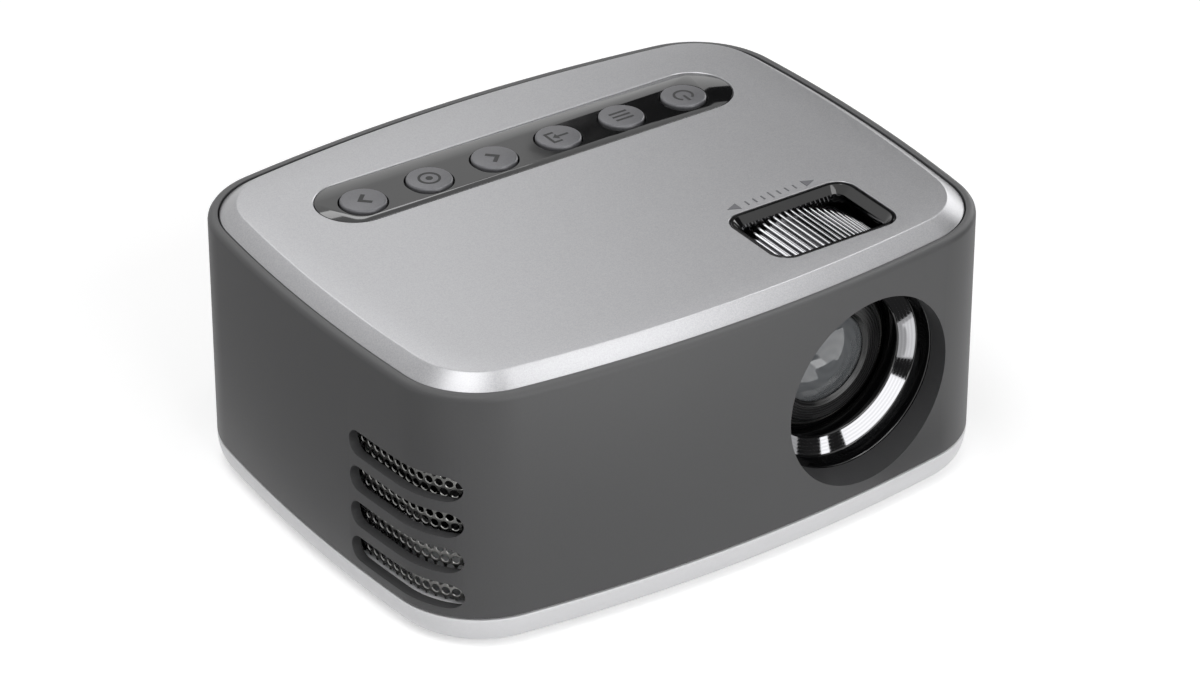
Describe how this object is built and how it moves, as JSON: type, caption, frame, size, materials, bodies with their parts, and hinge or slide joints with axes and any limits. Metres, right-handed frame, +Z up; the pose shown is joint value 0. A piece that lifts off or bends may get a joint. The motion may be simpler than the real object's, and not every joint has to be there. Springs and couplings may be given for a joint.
{
  "type": "mini projector",
  "caption": "Palm-size rectangular LED projector with rounded corners, recessed lens, focus wheel in a slot of the top plate, round keys in a glossy strip and corner vents.",
  "frame": {"origin": "under the middle of the case, on the plane the rubber feet stand on", "axes": "lens looks along -Y, +X to the right of someone facing the lens (along the case's length), +Z up"},
  "size_m": [0.127, 0.1002, 0.0551],
  "materials": {
    "dark_grey_plastic": "fine satin texture",
    "silver_paint": "satin silver lacquer",
    "pale_plastic": "satin",
    "piano_black": "polished",
    "matte_black": "matte",
    "key_grey": "satin",
    "black_rubber": "matte",
    "steel": "satin",
    "brass": "turned",
    "aluminium": "extruded",
    "clear_glass": "polished",
    "clear_acrylic": "fine grooves",
    "lcd_film": "polarising film",
    "mirror_silver": "front-silvered",
    "board_green": "solder mask",
    "white_board": "solder mask"
  },
  "bodies": {
    "case": {"av_jack": "matte_black", "bottom_tray": "pale_plastic", "button_strip": "piano_black", "card_slot": "steel", "case_screw_1": "steel", "case_screw_2": "steel", "case_screw_3": "steel", "case_screw_4": "steel", "collimating_fresnel": "clear_acrylic", "condenser_lens": "clear_glass", "engine_cover": "matte_black", "engine_housing": "matte_black", "fan_frame": "matte_black", "field_fresnel": "clear_acrylic", "focus_bezel": "piano_black", "fold_mirror": "mirror_silver", "foot_1": "black_rubber", "foot_2": "black_rubber", "foot_3": "black_rubber", "foot_4": "black_rubber", "hdmi_socket": "steel", "heat_glass": "clear_glass", "heatsink": "aluminium", "infrared_receiver": "piano_black", "key_board": "board_green", "key_board_screw_1": "steel", "key_board_screw_2": "steel", "key_switch_1": "matte_black", "key_switch_2": "matte_black", "key_switch_3": "matte_black", "key_switch_4": "matte_black", "key_switch_5": "matte_black", "key_switch_6": "matte_black", "lcd_panel": "lcd_film", "led_board": "white_board", "lens_mount": "matte_black", "lens_trim_ring": "piano_black", "main_board": "board_green", "power_jack": "matte_black", "ring_retainer": "steel", "side_shell": "dark_grey_plastic", "speaker": "matte_black", "stand_nut": "brass", "top_plate": "silver_paint", "usb_socket": "steel", "vent_mesh": "steel"},
    "focus_wheel": {"focus_ring": "matte_black"},
    "lens_slider": {"lens_barrel": "matte_black", "front_lens": "clear_glass", "middle_lens": "clear_glass", "rear_lens": "clear_glass", "lens_retainer": "piano_black"},
    "fan_wheel": {"fan_impeller": "matte_black"},
    "key_1": {"keycap_1": "key_grey"},
    "key_2": {"keycap_2": "key_grey"},
    "key_3": {"keycap_3": "key_grey"},
    "key_4": {"keycap_4": "key_grey"},
    "key_5": {"keycap_5": "key_grey"},
    "key_6": {"keycap_6": "key_grey"}
  },
  "joints": [
    {"name": "focus_slide", "type": "slide", "parent": "case", "child": "lens_slider", "axis": [0, -1, 0], "range_m": [-0.0015, 0.0015]},
    {"name": "focus_turn", "type": "hinge", "parent": "case", "child": "focus_wheel", "pos_m": [0.028, -0.02915, 0.028], "axis": [0, 1, 0], "range_deg": [-45, 45]},
    {"name": "fan_spin", "type": "hinge", "parent": "case", "child": "fan_wheel", "pos_m": [-0.0445, -0.02425, 0.028], "axis": [1, 0, 0], "continuous": true},
    {"name": "key_1_press", "type": "slide", "parent": "case", "child": "key_1", "axis": [0, 0, -1], "range_m": [0, 0.0004], "stiffness_N_per_m": 1000, "springref_m": -0.0002},
    {"name": "key_2_press", "type": "slide", "parent": "case", "child": "key_2", "axis": [0, 0, -1], "range_m": [0, 0.0004], "stiffness_N_per_m": 1000, "springref_m": -0.0002},
    {"name": "key_3_press", "type": "slide", "parent": "case", "child": "key_3", "axis": [0, 0, -1], "range_m": [0, 0.0004], "stiffness_N_per_m": 1000, "springref_m": -0.0002},
    {"name": "key_4_press", "type": "slide", "parent": "case", "child": "key_4", "axis": [0, 0, -1], "range_m": [0, 0.0004], "stiffness_N_per_m": 1000, "springref_m": -0.0002},
    {"name": "key_5_press", "type": "slide", "parent": "case", "child": "key_5", "axis": [0, 0, -1], "range_m": [0, 0.0004], "stiffness_N_per_m": 1000, "springref_m": -0.0002},
    {"name": "key_6_press", "type": "slide", "parent": "case", "child": "key_6", "axis": [0, 0, -1], "range_m": [0, 0.0004], "stiffness_N_per_m": 1000, "springref_m": -0.0002}
  ],
  "couplings": [
    {"joint": "focus_turn", "follows": "focus_slide", "rad_per_m": 523.6}
  ]
}
